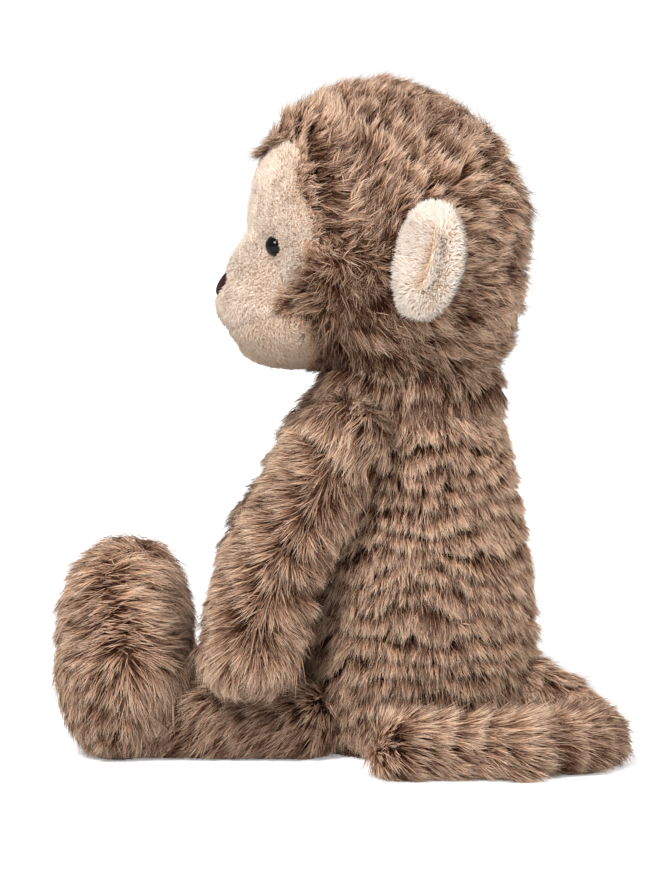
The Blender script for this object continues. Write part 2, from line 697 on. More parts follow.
def tube(name, centre, radius, around=28, closed_start=True, material=None, tone_up=(0, 0, 1), caps=3):
    """A closed tube along centre points in mm, its ends domed. radius is one number or (a, b) pairs per point."""
    c = np.asarray(centre, float)
    r = np.asarray(radius, float)
    if r.ndim == 1:
        r = np.stack([r, r], 1)
    t = unit(np.gradient(c, axis=0))
    up = np.asarray(tone_up, float)
    s = unit(np.cross(t, up))
    u = np.cross(s, t)
    rings = []
    for i in range(caps, 0, -1):
        a = i / (caps + 0.0) * math.pi / 2 * 0.92
        rings.append((c[0] - t[0] * math.sin(a) * r[0].mean(), s[0], u[0], r[0] * math.cos(a)))
    for i in range(len(c)):
        rings.append((c[i], s[i], u[i], r[i]))
    for i in range(1, caps + 1):
        a = i / (caps + 0.0) * math.pi / 2 * 0.92
        rings.append((c[-1] + t[-1] * math.sin(a) * r[-1].mean(), s[-1], u[-1], r[-1] * math.cos(a)))
    ang = np.arange(around) / around * 2 * math.pi
    v = [cc + np.outer(np.cos(ang), ss) * rr[0] + np.outer(np.sin(ang), uu) * rr[1] for cc, ss, uu, rr in rings]
    verts = np.concatenate(v)
    faces = []
    for i in range(len(rings) - 1):
        for k in range(around):
            k2 = (k + 1) % around
            faces.append((i * around + k, i * around + k2, (i + 1) * around + k2, (i + 1) * around + k))
    faces.append(tuple(range(around))[::-1])
    faces.append(tuple((len(rings) - 1) * around + k for k in range(around)))
    ob = mesh_object(name, verts / 1000, faces, material)
    bm = bmesh.new()
    bm.from_mesh(ob.data)
    bmesh.ops.recalc_face_normals(bm, faces=bm.faces)
    bm.to_mesh(ob.data)
    bm.free()
    ob.data.polygons.foreach_set("use_smooth", np.ones(len(ob.data.polygons), bool))
    return ob


def plane_out(surface):
    return surface.co, surface.no


def show(ob, material, attach, *replaced):
    ob.data.materials.clear()
    ob.data.materials.append(material)
    attach(ob)
    if replaced:
        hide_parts(*replaced)
    return ob


class Line:
    """A polyline in mm that points can be measured against."""

    def __init__(self, pts, step=1.0):
        pts = np.asarray(pts, float)
        seg = np.linalg.norm(np.diff(pts, axis=0), axis=1)
        at = np.concatenate([[0], np.cumsum(seg)])
        n = max(int(at[-1] / step), 8)
        self.s = np.linspace(0, at[-1], n)
        self.p = np.stack([np.interp(self.s, at, pts[:, k]) for k in range(3)], 1)
        self.t = unit(np.gradient(self.p, axis=0))
        self.length = at[-1]

    def near(self, q):
        out = np.empty(len(q), int)
        for i in range(0, len(q), 8000):
            d = ((q[i : i + 8000, None, :] - self.p[None]) ** 2).sum(-1)
            out[i : i + 8000] = d.argmin(1)
        off = q - self.p[out]
        along = self.s[out] + (off * self.t[out]).sum(1)
        return along, self.t[out], self.p[out], off


# strand pieces that cross a joint follow it root by root, so that no bristle is stretched


def bending_strands(a, b, start, end):
    def go(ob):
        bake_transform(ob, a, b, start=tuple(np.asarray(start) / 1000), end=tuple(np.asarray(end) / 1000))
        per = VERTS_PER["now"]
        w = np.zeros(len(ob.data.vertices), np.float32)
        att = ob.data.attributes["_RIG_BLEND"]
        att.data.foreach_get("value", w)
        w = w.reshape(-1, per)
        w[:] = w[:, :1]
        att.data.foreach_set("value", w.ravel())
    return go


DENS = 1.0

# ------------------------------------------------------------------ torso
torso = skin("body_skin", ["body_front_panel", "body_back_panel", "body_seat_panel", "body_stuffing"], 2.6, 3)
padded(torso, cap=2.0)
set_coords(torso.data, eased(torso.data, coords(torso.data), 2))
co = coords(torso.data)
co[:, 2] = np.maximum(co[:, 2], 0.3)
set_coords(torso.data, co)
S_TORSO = Surface(torso)
show(torso, BROWN_BACK, riding("torso"), "body_front_panel", "body_back_panel", "body_seat_panel")


def radial_mix(n, p, centre, k):
    return unit(n * (1 - k) + unit(p - centre) * k)


p, n = S_TORSO.scatter(3.1 * DENS, 11, lambda q: smooth(q[:, 2], 0.2, 1.5) * 0.75 + 0.25)
back = smooth(p[:, 1], -5, 30)
flow = np.stack([np.zeros(len(p)), 0.34 * back - 0.15 * smooth(-p[:, 1], 5, 30), -np.ones(len(p))], 1)
flow += n * 0.0
# at the shoulders the pile starts from the neck; under the seat it lies back
flow[p[:, 2] > 114] += unit(p[p[:, 2] > 114] * (1, 1, 0) - np.array([0, -3.5, 0])) * 1.2
under = n[:, 2] < -0.75
flow[under] = unit(p[under] * (1, 1, 0) - np.array([0, -3, 0])) + 1e-3
s = -p[:, 2] + 0.10 * p[:, 1] * back
amount = 1 - smooth(-n[:, 2], 0.3, 0.8)
floor_fade = 0.55 + 0.45 * smooth(p[:, 2], 0, 12)
shag("body_pile", p, n, flow, s, 101, BROWN, riding("torso"), pitch=7.5, over=3.1, lift=4.9 * floor_fade, amount=1.0 * amount, size=3.4, length=1.0, base_tone=0.52, warp=3.5, pull=0.36, wrap=S_TORSO, hug=0.6, radius=0.155, spiky=3.2, even=1.1, keen=1.35, ragged=0.5)

# ------------------------------------------------------------------ neck
NK = pivot("head_nod")
zs = np.linspace(111, 134, 13)
bulge = np.sin((zs - 111) / 23 * math.pi) ** 0.7
collar = tube("neck_skin", [(0, -3.2, z) for z in zs], [(18 + 4.5 * g, 20 + 7.4 * g) for g in bulge], tone_up=(0, 1, 0), around=48)
S_NECK = Surface(collar)
show(collar, BROWN_BACK, riding("neck"))
p, n = S_NECK.scatter(2.8 * DENS, 12, lambda q: (q[:, 2] > 112.5) * (q[:, 2] < 132.0) * 1.0)
keep = n[:, 2] < 0.7
p, n = p[keep], n[keep]
flow = np.stack([n[:, 0] * 0.2, n[:, 1] * 0.2, -np.ones(len(p))], 1)
shag("neck_pile", p, n, flow, -p[:, 2], 102, BROWN, riding("neck"), pitch=7, over=4.2, lift=4.2, size=4.2, base_tone=0.24)

# ------------------------------------------------------------------ arms
for word, m in (("left", 1), ("right", -1)):
    arm = skin(f"arm_{word}_skin", [f"arm_{word}_outer_panel", f"arm_{word}_inner_panel", f"arm_{word}_stuffing"], 2.0, 3)
    padded(arm, cap=0.6)
    ac = coords(arm.data)
    ac[:, 1] += 1.6 * np.exp(-(((ac[:, 2] - 76) / 16) ** 2)) * smooth(-ac[:, 1], 44, 54)
    ac[:, 2] += 1.9 * smooth(-ac[:, 2], -38, -27)
    set_coords(arm.data, ac)
    S = Surface(arm)
    body = f"arm_{word}"
    show(arm, BROWN_BACK, riding(body), f"arm_{word}_outer_panel", f"arm_{word}_inner_panel")
    SH, EL, HD = pivot(f"arm_{word}_swing"), np.array([m * 39.6, -51.5, 67]), np.array([m * 43, -57.5, 37])
    smoothed = [(1 - t) ** 2 * SH + 2 * t * (1 - t) * (EL + (0, -1, 0)) + t * t * HD for t in np.linspace(0, 1, 24)]
    line = Line([SH + unit(SH - EL) * 9] + smoothed + [HD + unit(HD - EL) * 10])
    p, n = S.scatter(2.75 * DENS, 21 + m)
    along, t, c, off = line.near(p)
    rad = unit(off - t * dot(off, t))
    # a parting runs down the outer side, and the pile falls forwards and backwards from it
    outer = np.array([[m * 1.0, 0.22, 0.0]])
    out = unit(outer - t * dot(outer, t))
    around = unit(np.cross(t, out))
    theta = np.arctan2((rad * around).sum(1), (rad * out).sum(1))
    theta = theta + waves(31 + m, 24)(p) * 0.22 + np.random.default_rng(54).normal(size=len(p)) * 0.1
    down_arm = smooth(along, 2, 22)
    spread = 1.45 * smooth(np.abs(theta), 0.0, 0.35) * (1 - smooth(np.abs(theta), 1.7, 2.9)) * down_arm
    e_th = unit(np.cross(t, rad))
    # lobes across the arm, each with its own rounded end
    place = along + 2.0 * waves(37 + m, 12)(p) + 4.0 * np.sign(theta)
    d = (np.floor(place / 10.5) + 0.5) * 10.5 - place
    lobed = smooth(np.abs(theta), 0.15, 0.6) * down_arm * np.where(theta * m * around[:, 1] > 0, 1.0, 0.25)
    flow = t + e_th * (np.sign(theta) * spread)[:, None] + t * (d / 5.2 * 0.6 * lobed)[:, None]
    hand = smooth(along, line.length - 24, line.length - 6)[:, None]
    flow = unit(flow) * (1 - 0.75 * hand) + np.array([0, -0.2, -1.0]) * hand * 0.9
    top = smooth(-along, -13, -3)[:, None]
    flow = unit(flow) * (1 - top) + np.array([m * 1.1, -0.55, -0.85]) * top
    s = (along + 18.0 * np.abs(theta) * down_arm) / 1.7
    lift = 5.6 * (1 - 0.5 * (np.abs(d) / 5.25) ** 2 * lobed) * (0.72 + 0.28 * smooth(np.abs(theta), 0.05, 0.5))
    lift = lift * (1 - 0.42 * smooth(-n[:, 1], 0.35, 0.85) * smooth(p[:, 2], 50, 64) * (1 - smooth(p[:, 2], 92, 104))) * (1 - 0.4 * smooth(-n[:, 2], 0.3, 0.8) * (p[:, 2] < 40))
    tone = 0.5 + 0.07 - 0.36 * (np.abs(d) / 5.25) ** 3 * lobed - 0.3 * (1 - smooth(np.abs(theta), 0.0, 0.3)) * down_arm + 0.12 * hand[:, 0]
    shag(f"{body}_pile", p, n, flow, s, 120 + 5 * m, BROWN, riding(body), pitch=9.0, over=6.0, lift=lift, size=4.2, base_tone=tone, warp=2.4, amount=0.85, wrap=S, hug=0.8, spiky=3.4, ragged=0.5, loose=0.12)

# ------------------------------------------------------------------ legs and feet
for word, m in (("left", 1), ("right", -1)):
    hip, ankle = pivot(f"leg_{word}_swing"), pivot(f"foot_{word}_tilt")
    foot = skin(f"foot_{word}_skin", [f"foot_{word}_upper_panel", f"foot_{word}_sole_panel", f"foot_{word}_stuffing"], 2.2, 3)
    padded(foot, cap=0.6)
    co = coords(foot.data)
    co[:, 2] = np.maximum(co[:, 2], 0.3)
    set_coords(foot.data, co)
    S = Surface(foot)
    show(foot, BROWN_BACK, riding(f"foot_{word}"), f"foot_{word}_upper_panel", f"foot_{word}_sole_panel")
    C = np.array([m * 23.5, -100.8, 33.8])
    W = C + np.array([m * 18.0, 4.4, 5.0])
    p, n = S.scatter(2.8 * DENS, 41 + m)
    w = smooth(n[:, 0] * m, -0.15, 0.35)
    top = smooth(p[:, 2], 54, 64)
    down = np.stack([np.zeros(len(p)), -0.25 - 0.9 * top, -np.ones(len(p))], 1)
    # the pile parts along a line down the outer side, sweeps to its front in tufts and lies smooth behind it, and falls below it
    line_y = W[1] - 3.5 - 0.16 * (p[:, 2] - W[2]) + 1.6 * waves(45 + m, 16)(p)
    rv = p[:, 1] - line_y + np.random.default_rng(53).normal(size=len(p)) * 2.2
    near = np.abs(rv)
    left = smooth(-rv, 0.2, 5)
    high_up = smooth(p[:, 2], W[2] - 9, W[2] + 5)
    part = np.sign(rv) * (0.3 + 0.7 * smooth(near, 0, 5)) * (0.35 + 0.85 * high_up)
    way = np.stack([np.zeros(len(p)), part, -0.55 - 0.75 * (1 - high_up) + 0.5 * (1 - left) * high_up], 1)
    # swept tufts in front of the parting, one above another
    place = p[:, 2] + 0.35 * near + 2.6 * waves(47 + m, 13)(p)
    d = (np.floor(place / 10.0) + 0.5) * 10.0 - place
    lobed = left * w * smooth(near, 0.5, 4)
    way = way + np.stack([np.zeros(len(p)), np.zeros(len(p)), d / 5.0 * 0.6 * lobed], 1)
    flow = unit(way) * w[:, None] + unit(down) * (1 - w)[:, None]
    s = near * w * high_up + (C[2] + 30 - p[:, 2]) * (1 - w * high_up)
    bottom = 0.5 + 0.5 * smooth(p[:, 2], 0, 14)
    lift = (5.0 - 0.5 * smooth(-n[:, 1], 0.2, 0.8) + 2.2 * smooth(n[:, 2], 0.3, 0.8)) * bottom * (1 - 0.5 * (np.abs(d) / 5.0) ** 2 * lobed) * (0.75 + 0.25 * smooth(near, 0, 5))
    tone = 0.58 - 0.46 * (np.abs(d) / 5.0) ** 3 * lobed + 0.05 * (1 - left) - 0.12 * (1 - smooth(near, 0, 2.5)) * w * high_up
    upright = (1 - smooth(near, 0.5, 4.5)) * w * high_up
    lift = lift * (1 + 0.35 * upright)
    shag(f"foot_{word}_pile", p, n, flow, s, 140 + 5 * m, BROWN, riding(f"foot_{word}"), pitch=9.5, over=5.0, lift=lift, size=4.0, base_tone=tone, amount=0.35 + 0.5 * left, warp=3.0, pull=0.42, wrap=S, hug=0.75, spiky=3.2, ragged=0.5, loose=0.13, length=1 - 0.5 * upright)

    back, front = hip + (0, 2, 0), ankle + (0, -14, 1)
    ys = np.linspace(0, 1, 26)
    pts = [back * (1 - t) + front * t for t in ys]
    leg = tube(f"leg_{word}_skin", pts, [11.4 - 0.6 * t for t in ys], around=40)
    co = coords(leg.data)
    co[:, 2] = np.maximum(co[:, 2], 0.3)
    set_coords(leg.data, co)
    SL = Surface(leg)
    start, end = ankle + (0, 8, 0), ankle + (0, -11, 0)
    show(leg, BROWN_BACK, bending(f"leg_{word}", f"foot_{word}", start, end), f"leg_{word}_sleeve")
    p, n = SL.scatter(2.7 * DENS, 51 + m, lambda q: (q[:, 1] > -86) * 1.0)
    flow = np.stack([n[:, 0] * 0.3, np.full(len(p), -0.85), np.full(len(p), -0.75)], 1)
    shag(f"leg_{word}_pile", p, n, flow, -p[:, 1] - 0.5 * p[:, 2], 160 + 5 * m, BROWN, bending_strands(f"leg_{word}", f"foot_{word}", start, end), pitch=7.5, over=4.2, lift=5.0 * (0.5 + 0.5 * smooth(p[:, 2], 0, 9)), size=3.6, base_tone=0.3, amount=0.55, contrast=0.85, loose=0.14)

# ------------------------------------------------------------------ tail
T1, T2, T3 = pivot("tail_base_swing"), pivot("tail_middle_bend"), pivot("tail_tip_bend")
CC = np.array([36.0, 28.0])
a1, a2 = math.atan2(*(T1[:2] - CC)[::-1]), math.atan2(*(T2[:2] - CC)[::-1])
curve = [np.array([3.0, 30.5, 23.6]), np.array([8.0, 37.5, 21.2])]
for t in np.linspace(0, 1, 14):
    a = a1 + (a2 - a1) * t
    r = np.linalg.norm(T1[:2] - CC) * (1 - t) + 28 * t
    curve.append(np.array([CC[0] + r * math.cos(a), CC[1] + r * math.sin(a), T1[2] - 1.2 * (1 - t) + (T2[2] - T1[2]) * math.sin(t * math.pi / 2)]))
for a in np.linspace(a2, 0, 16)[1:]:
    curve.append(np.array([CC[0] + 28 * math.cos(a), CC[1] + 28 * math.sin(a), 8.8]))
for y in np.linspace(28, -7.0, 12)[1:]:
    curve.append(np.array([64, y, 8.8]))
tail = Line(curve, 1.0)
marks = [tail.near(q[None])[0][0] for q in (T1, T2, T3)]
cuts = [0, (marks[0] + marks[1]) / 2, (marks[1] + marks[2]) / 2, tail.length]
for i, (name, a, b, gone) in enumerate((("tail_base", "torso", "tail_base", "tail_base_sleeve"), ("tail_middle", "tail_base", "tail_middle", "tail_middle_sleeve"), ("tail_tip", "tail_middle", "tail_tip", "tail_tip_sleeve"))):
    pick = (tail.s >= cuts[i] - 0.5) & (tail.s <= cuts[i + 1] + 0.5)
    centres = tail.p[pick][::2]
    at = tail.s[pick][::2]
    radius = 7.4 + 0.5 * (1 - smooth(at, 2, 18)) + 0.3 * np.sin(at / 9.0) + 0.5 * smooth(at, marks[2] - 2, marks[2] + 8)
    slim = np.exp(-(((at - marks[2] + 17) / 15) ** 2))
    radius = radius - 0.6 * slim
    centres = centres + np.array([0, 0, 1.3]) * slim[:, None]
    sk = tube(f"{name}_skin", centres, np.minimum(radius, centres[:, 2] - 0.6), around=28, caps=3 if i == 2 else 1)
    m_at = marks[i]
    dirn = tail.t[np.abs(tail.s - m_at).argmin()]
    J = (T1, T2, T3)[i]
    start, end = J - dirn * 7.5, J + dirn * 7.5
    S = Surface(sk)
    show(sk, BROWN_BACK, bending(a, b, start, end), gone)
    p, n = S.scatter(2.9 * DENS, 61 + i)
    along, t, c, off = tail.near(p)
    inside = (along >= cuts[i]) & (along <= cuts[i + 1] + (20 if i == 2 else 0)) & ((along > 1) | (i > 0))
    if i < 2:
        inside &= along <= cuts[i + 1]
    p, n, along, t, off = p[inside], n[inside], along[inside], t[inside], off[inside]
    out = unit(off)
    # the pile lies back towards the root on the outer two lengths
    noisy = along + np.random.default_rng(63 + i).normal(size=len(p)) * 1.2 + 1.5 * waves(64, 9)(p)
    turn = np.ones(len(p)) if i == 0 else (1 - 2 * smooth(noisy, marks[1] - 9, marks[1] + 3))
    flow = t * (turn + 0.05)[:, None] + out * 0.12 + np.array([0, 0, -0.3])
    dip = np.exp(-(((along - marks[2] + 9.0) / 4.5) ** 2))
    over_ = np.exp(-(((along - marks[2] - 1.5) / 4.5) ** 2))
    shag(f"{name}_pile", p, n, flow, along * np.sign(turn + 0.01) + 2.0 * waves(7, 14)(p), 180 + i, BROWN, bending_strands(a, b, start, end), pitch=9.0, over=4.6, lift=(4.8 - (2.0 if i == 0 else 0.0)) * (0.5 + 0.5 * smooth(p[:, 2], 0, 8)) * (1 - 0.65 * dip + 0.75 * over_), size=3.8, base_tone=(0.48, 0.53, 0.66)[i] - 0.45 * dip, pull=0.4, amount=0.8, spiky=3.4, ragged=0.6, loose=0.16)

# ------------------------------------------------------------------ head
FACE_NODES = ["face_panel", "chin_panel"]


def bare(p, g):
    """How far a head point lies past the edge of the bare face, in mm; the long pile grows in a little behind the chin and at the cheek."""
    chin = 6.0 * smooth(-p[:, 2], -153, -145) * smooth(p[:, 1], -44, -34)
    cheek = 6.5 * np.exp(-(((p[:, 2] - 153.5) / 6.5) ** 2)) * smooth(p[:, 1], -58, -46)
    brow = 7.0 * np.exp(-(((p[:, 2] - 203.0) / 7.5) ** 2)) * smooth(np.abs(p[:, 0]), 4, 12) * (1 - smooth(np.abs(p[:, 0]), 25, 33)) * smooth(-p[:, 1], 20, 30)
    return g + chin + cheek - brow


FUR_NODES = ["head_left_panel", "head_right_panel", "head_crown_gusset", "head_nape_gusset", "head_throat_gusset"]
head = skin("head_skin", FACE_NODES + FUR_NODES + ["head_stuffing"], 1.7, 2)


def bvh_of(names):
    vs, ts, base = [], [], 0
    for nme in names:
        me = NODES[nme].data
        me.calc_loop_triangles()
        t = np.zeros(len(me.loop_triangles) * 3, np.int32)
        me.loop_triangles.foreach_get("vertices", t)
        v = coords(me)
        vs += [tuple(x) for x in v]
        ts += [tuple(x) for x in (t.reshape(-1, 3) + base)]
        base += len(v)
    return BVHTree.FromPolygons(vs, ts)


def gap_to(tree_, pts):
    return np.array([tree_.find_nearest(Vector(q))[3] for q in pts])


hc = coords(head.data)
side_of = gap_to(bvh_of(FACE_NODES), hc) - gap_to(bvh_of(FUR_NODES), hc)  # below 0 on the bare face
before = hc.copy()
padded(head, cap=1.4)
after = coords(head.data)
puff = smooth(side_of, 2, 16)[:, None]
hc = before + (after - before) * puff
# ease the face so that brow, bridge and muzzle run into each other, without shrinking them
flat = hc
for _ in range(45):
    flat = eased(head.data, flat, 1, 0.6)
    flat = eased(head.data, flat, 1, -0.62)
ease_by = smooth(-side_of, -5, 3)[:, None]
hc = hc + (flat - hc) * ease_by
# the stuffed profile of the face, from the brow down to the chin: how far forward the middle of the face stands at each height
PROFILE = np.array([(136, -48.5), (140, -58.5), (144, -64.6), (148, -67.4), (153, -68.2), (159, -67.6), (164, -65.6), (169, -62.4), (174, -59.4), (181, -57.4), (188, -56.4), (195, -55.6), (203, -52.6), (208, -48.0)])
mid_line = (np.abs(hc[:, 0]) < 3.0) & (hc[:, 1] < -30)
mz, my = hc[mid_line, 2], hc[mid_line, 1]
zz = np.arange(134, 212, 2.0)
now = np.array([my[np.abs(mz - z) < 2.2].min() if (np.abs(mz - z) < 2.2).any() else np.nan for z in zz])
want = np.interp(zz, PROFILE[:, 0], PROFILE[:, 1])
shift = np.nan_to_num(np.clip(want - now, -4.5, 4.0), nan=0.0)
shift = np.convolve(np.pad(shift, 2, "edge"), np.ones(5) / 5, "valid")
shift *= smooth(zz, 134, 140) * (1 - smooth(zz, 203, 210))
wide = 1 - smooth(np.abs(hc[:, 0]), 7 + 8 * smooth(hc[:, 2], 176, 190), 24 + 14 * smooth(hc[:, 2], 176, 190))
hc[:, 1] += np.interp(hc[:, 2], zz, shift) * wide * smooth(-hc[:, 1], 22, 40)
set_coords(head.data, hc)
fld = side_of[:, None]
att = head.data.attributes.new("side", "FLOAT", "POINT")
att.data.foreach_set("value", side_of.astype(np.float32))
subdivided(head)
side_of = np.zeros(len(head.data.vertices), np.float32)
head.data.attributes["side"].data.foreach_get("value", side_of)
hc, hn = coords(head.data), normals(head.data)
side_of = bare(hc, side_of)
# the mouth seam: a drawn-in line across the front of the muzzle
slope = math.radians(19.5)
seam_n = np.array([0, -math.sin(slope), math.cos(slope)])
to_seam = (hc - (0, -67, 143.8)) @ seam_n
mouth = (side_of < 3) * (hc[:, 1] < -26) * smooth(-hc[:, 1], 26, 36)
groove = np.exp(-((to_seam / 1.5) ** 2)) * 0.7 * mouth
swell = (np.exp(-(((to_seam - 5) / 4.0) ** 2)) + np.exp(-(((to_seam + 4.5) / 3.5) ** 2))) * 0.25 * mouth
# the panel edge is drawn in by its stitching
edge = np.exp(-((side_of / 1.6) ** 2)) * 0.7
# a soft hollow around each eye where it is pulled in
eyes = [np.array([m * 23.1, -49.3, 172.5]) for m in (1, -1)]
sink = sum(np.exp(-((np.linalg.norm(hc - e, axis=1) / 6.5) ** 2)) * 0.55 for e in eyes)
hc = hc - hn * (groove - swell + edge + sink)[:, None]
set_coords(head.data, hc)
S_HEAD = Surface(head)
S_HEAD.side = side_of.astype(float)


def head_scatter(per, seed, low, high):
    """Points on the head where the distance past the face seam lies between low and high."""
    r = np.random.default_rng(seed)
    s = S_HEAD
    a, b, c = (s.co[s.tri[:, k]] for k in range(3))
    area = np.linalg.norm(np.cross(b - a, c - a), axis=1) / 2
    g = s.side[s.tri].mean(1)
    weight = area * per * ((g > low) & (g < high))
    n_ = int(weight.sum())
    total = np.cumsum(weight)
    i = np.searchsorted(total, (np.arange(n_) + r.random(n_)) / n_ * total[-1]).clip(0, len(area) - 1)
    q1, q2 = np.sqrt(r.random(n_))[:, None], r.random(n_)[:, None]
    t = s.tri[i]
    w = (1 - q1, q1 * (1 - q2), q1 * q2)
    pp = sum(w[k] * s.co[t[:, k]] for k in range(3))
    nn = unit(sum(w[k] * s.no[t[:, k]] for k in range(3)))
    gg = sum(w[k][:, 0] * s.side[t[:, k]] for k in range(3))
    order = r.permutation(n_)
    return pp[order], nn[order], gg[order]


head.data.materials.clear()
head.data.materials.append(BROWN_BACK)
head.data.materials.append(CREAM_BACK)
fs = np.array([side_of[list(f.vertices)].mean() for f in head.data.polygons])
head.data.polygons.foreach_set("material_index", (fs < 0.0).astype(np.int32))
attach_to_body(head, "head")
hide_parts(*FACE_NODES, *FUR_NODES)

NOSE_Z = 158.6
F = np.array([0, -60.0, 186.0])
p, n, g = head_scatter(2.9 * DENS, 71, -1.0, 1e9)
ok = (p[:, 2] > 130) | (np.hypot(p[:, 0], p[:, 1] + 4) > 20)
p, n, g = p[ok], n[ok], g[ok]
edge = smooth(g, 0, 7)
# the pile leads back from the brow, and out all round from a matted place ahead of each ear
sd = np.sign(p[:, 0]) * smooth(np.abs(p[:, 0]), 0, 9)
spot = np.stack([sd * 42.0, np.full(len(p), -21.0), np.full(len(p), 164.0)], 1)
from_f, from_s = p - F, p - spot
turn = smooth(g, 5, 20) * smooth(p[:, 2], 166, 176) + (1 - smooth(p[:, 2], 166, 176))
turn = turn * (0.8 - 0.25 * smooth(p[:, 1], 10, 30))
far_ = np.linalg.norm(from_s, axis=1)
away = smooth(far_, 1, 15)[:, None]
flat_s = unit(from_s - n * dot(from_s, n)) * away + np.array([0, 0.45, -0.8]) * (1 - away)
flat_s = unit(flat_s + np.random.default_rng(72).normal(size=p.shape) * 0.55 * (1 - smooth(far_, 4, 20))[:, None])
flat_f = unit(from_f - n * dot(from_f, n))
flow = flat_s * turn[:, None] + flat_f * (1 - turn)[:, None] + np.array([0, 0.0, -0.3]) * smooth(p[:, 1], 0, 30)[:, None]
s = np.linalg.norm(from_s, axis=1) * turn + np.linalg.norm(from_f, axis=1) * (1 - turn)
felt = np.exp(-((np.linalg.norm(p - spot + (0, 0, 6), axis=1) / 19) ** 2))
cheek = smooth(-p[:, 1], -8, 12) * (1 - smooth(p[:, 2], 176, 196)) * smooth(g, -2, 1)
under_n = smooth(-n[:, 2], 0.4, 0.9)
nape = smooth(-p[:, 2], -146, -132) * smooth(p[:, 1], -30, -10)
length = 0.6 + 0.4 * edge - 0.14 * cheek - 0.12 * felt + 0.25 * nape - 0.12 * smooth(p[:, 2], 204, 216)
front = smooth(p[:, 2], 194, 203) * smooth(-p[:, 1], 20, 36) * (1 - smooth(p[:, 2], 203, 214))
crown = smooth(p[:, 2], 205, 220) * (1 - front)
behind = smooth(p[:, 2], 184, 206) * smooth(p[:, 1], -16, 4)
lift = (5.6 - 1.2 * cheek - 0.6 * under_n * (1 - nape) - 1.9 * crown - 1.8 * behind + 3.2 * front - 0.8 * felt + 1.0 * nape) * (0.5 + 0.5 * edge)
tone = 0.54 - 0.24 * cheek - 0.36 * felt - 0.1 * under_n - 0.14 * nape - 0.05 * smooth(p[:, 2], 195, 220) + 0.05 * smooth(p[:, 1], 0, 25)
shag("head_pile", p, n, flow, s, 171, BROWN, riding("head"), pitch=9.0, over=3.6, lift=lift, size=4.6, length=length, base_tone=tone, amount=0.95 - 0.45 * np.maximum(cheek, felt), warp=4.6, pull=0.72, wrap=S_HEAD, hug=0.6, spiky=3.8, swirl=0.9 + 1.2 * felt, radius=0.16, ragged=0.75, keen=1.3, loose=0.14, even=0.7, contrast=1.35 + 0.35 * np.maximum(cheek, felt))

# short warm hairs where the long pile of the cheek meets the face
p, n, g = head_scatter(4.5 * DENS, 79, -2.6, 1.6)
ok = p[:, 2] < 176
p, n, g = p[ok], n[ok], g[ok]
r = np.random.default_rng(80)
flow = unit(np.array([0, -66, 150.0]) - p) + np.array([0, 0, -0.5])
grow("cheek_fringe", p, n, flow, 2.0 + 1.2 * r.random(len(p)), 1.5 + 0.6 * r.random(len(p)), np.clip(0.62 - 0.12 * g + r.normal(size=len(p)) * 0.25, 0.02, 0.98), FRINGE, riding("head"), radius=0.14, soft=0.6, seed=81, stray=0.3)

# a small forelock over the top edge of the face
p, n, g = head_scatter(8.0 * DENS, 75, -2.0, 5.0)
ok = (np.abs(p[:, 0]) < 12) & (p[:, 2] > 197)
p, n, g = p[ok], n[ok], g[ok]
r = np.random.default_rng(76)
centre, ra, rb, rc = locks(p, 3.4, 321)
flow = np.stack([p[:, 0] * 0.05, -np.ones(len(p)), -0.5 + 0.0 * ra], 1)
grow("forelock", p, n, flow, 3.4 + 2.2 * r.random(len(p)), 2.0 + 1.4 * rb, np.clip(0.34 + 0.5 * (rc - 0.5) + r.normal(size=len(p)) * 0.2, 0.02, 0.98), BROWN, riding("head"), lock=centre, pull=(0.6, 0.1), radius=0.17, soft=0.45, seed=77, fine=1)

# the short nap of the face lies out from the bridge and down
S_HEAD.no = unit(eased(head.data, S_HEAD.no, 14, 0.6))
p, n, g = head_scatter(8.5 * DENS, 72, -1e9, 1.2)
for e in eyes:
    ok = np.linalg.norm(p - e, axis=1) > 3.4
    p, n, g = p[ok], n[ok], g[ok]
ok = ~((p[:, 1] < -56) & (((p[:, 0] / 7.4) ** 2 + ((p[:, 2] - NOSE_Z) / 4.7) ** 2) < 0.92))
p, n, g = p[ok], n[ok], g[ok]
r = np.random.default_rng(5)
flow = unit(p - np.array([0, -66, 168])) + np.array([0, 0, -0.25])
depth = waves(83, 5)(p)
reach = 1.25 + 0.2 * depth + np.abs(r.normal(size=len(p))) * 0.3
high = 1.35 + 0.12 * depth + r.normal(size=len(p)) * 0.2
below = smooth(-((p - (0, -67, 143.8)) @ seam_n), -0.5, 2.5)
on_seam = np.exp(-(((p - (0, -67, 143.8)) @ seam_n / 1.4) ** 2))
muzzle = smooth(-p[:, 2], -172, -158)
ring = sum(np.exp(-((np.linalg.norm(p - e, axis=1) / 5.5) ** 2)) for e in eyes)
warm = np.exp(-((g / 4.5) ** 2)) * 0.34 + 0.3 * below + 0.14 * muzzle + 0.08 * on_seam + 0.25 * ring
tone = 0.72 - warm - 0.07 * smooth(p[:, 2], 176, 188) + waves(82, 2.6)(p) * 0.1 + r.normal(size=len(p)) * 0.28
turned = waves(84, 9)(p)
flow = unit(flow) + np.cross(n, unit(flow)) * (0.5 * turned + 0.6 * r.normal(size=len(p)))[:, None]
grow("face_nap", p, n, flow, reach, high, np.clip(tone, 0.02, 0.98), CREAM, riding("head"), radius=0.15, soft=0.6, seed=3, stray=0.2)

# the nose: a padded patch of suede worked over with satin stitches, lying on the muzzle


def on_muzzle(x, z):
    """The muzzle's skin straight behind a point seen from the front, in mm."""
    S_HEAD.nearest(np.zeros((1, 3)))
    out_y = np.empty(len(x))
    for i_, (a_, b_) in enumerate(zip(x, z)):
        hit = S_HEAD.tree.ray_cast(Vector((a_, -120, b_)), Vector((0, 1, 0)))
        out_y[i_] = hit[0][1] if hit[0] is not None else -60
    return out_y


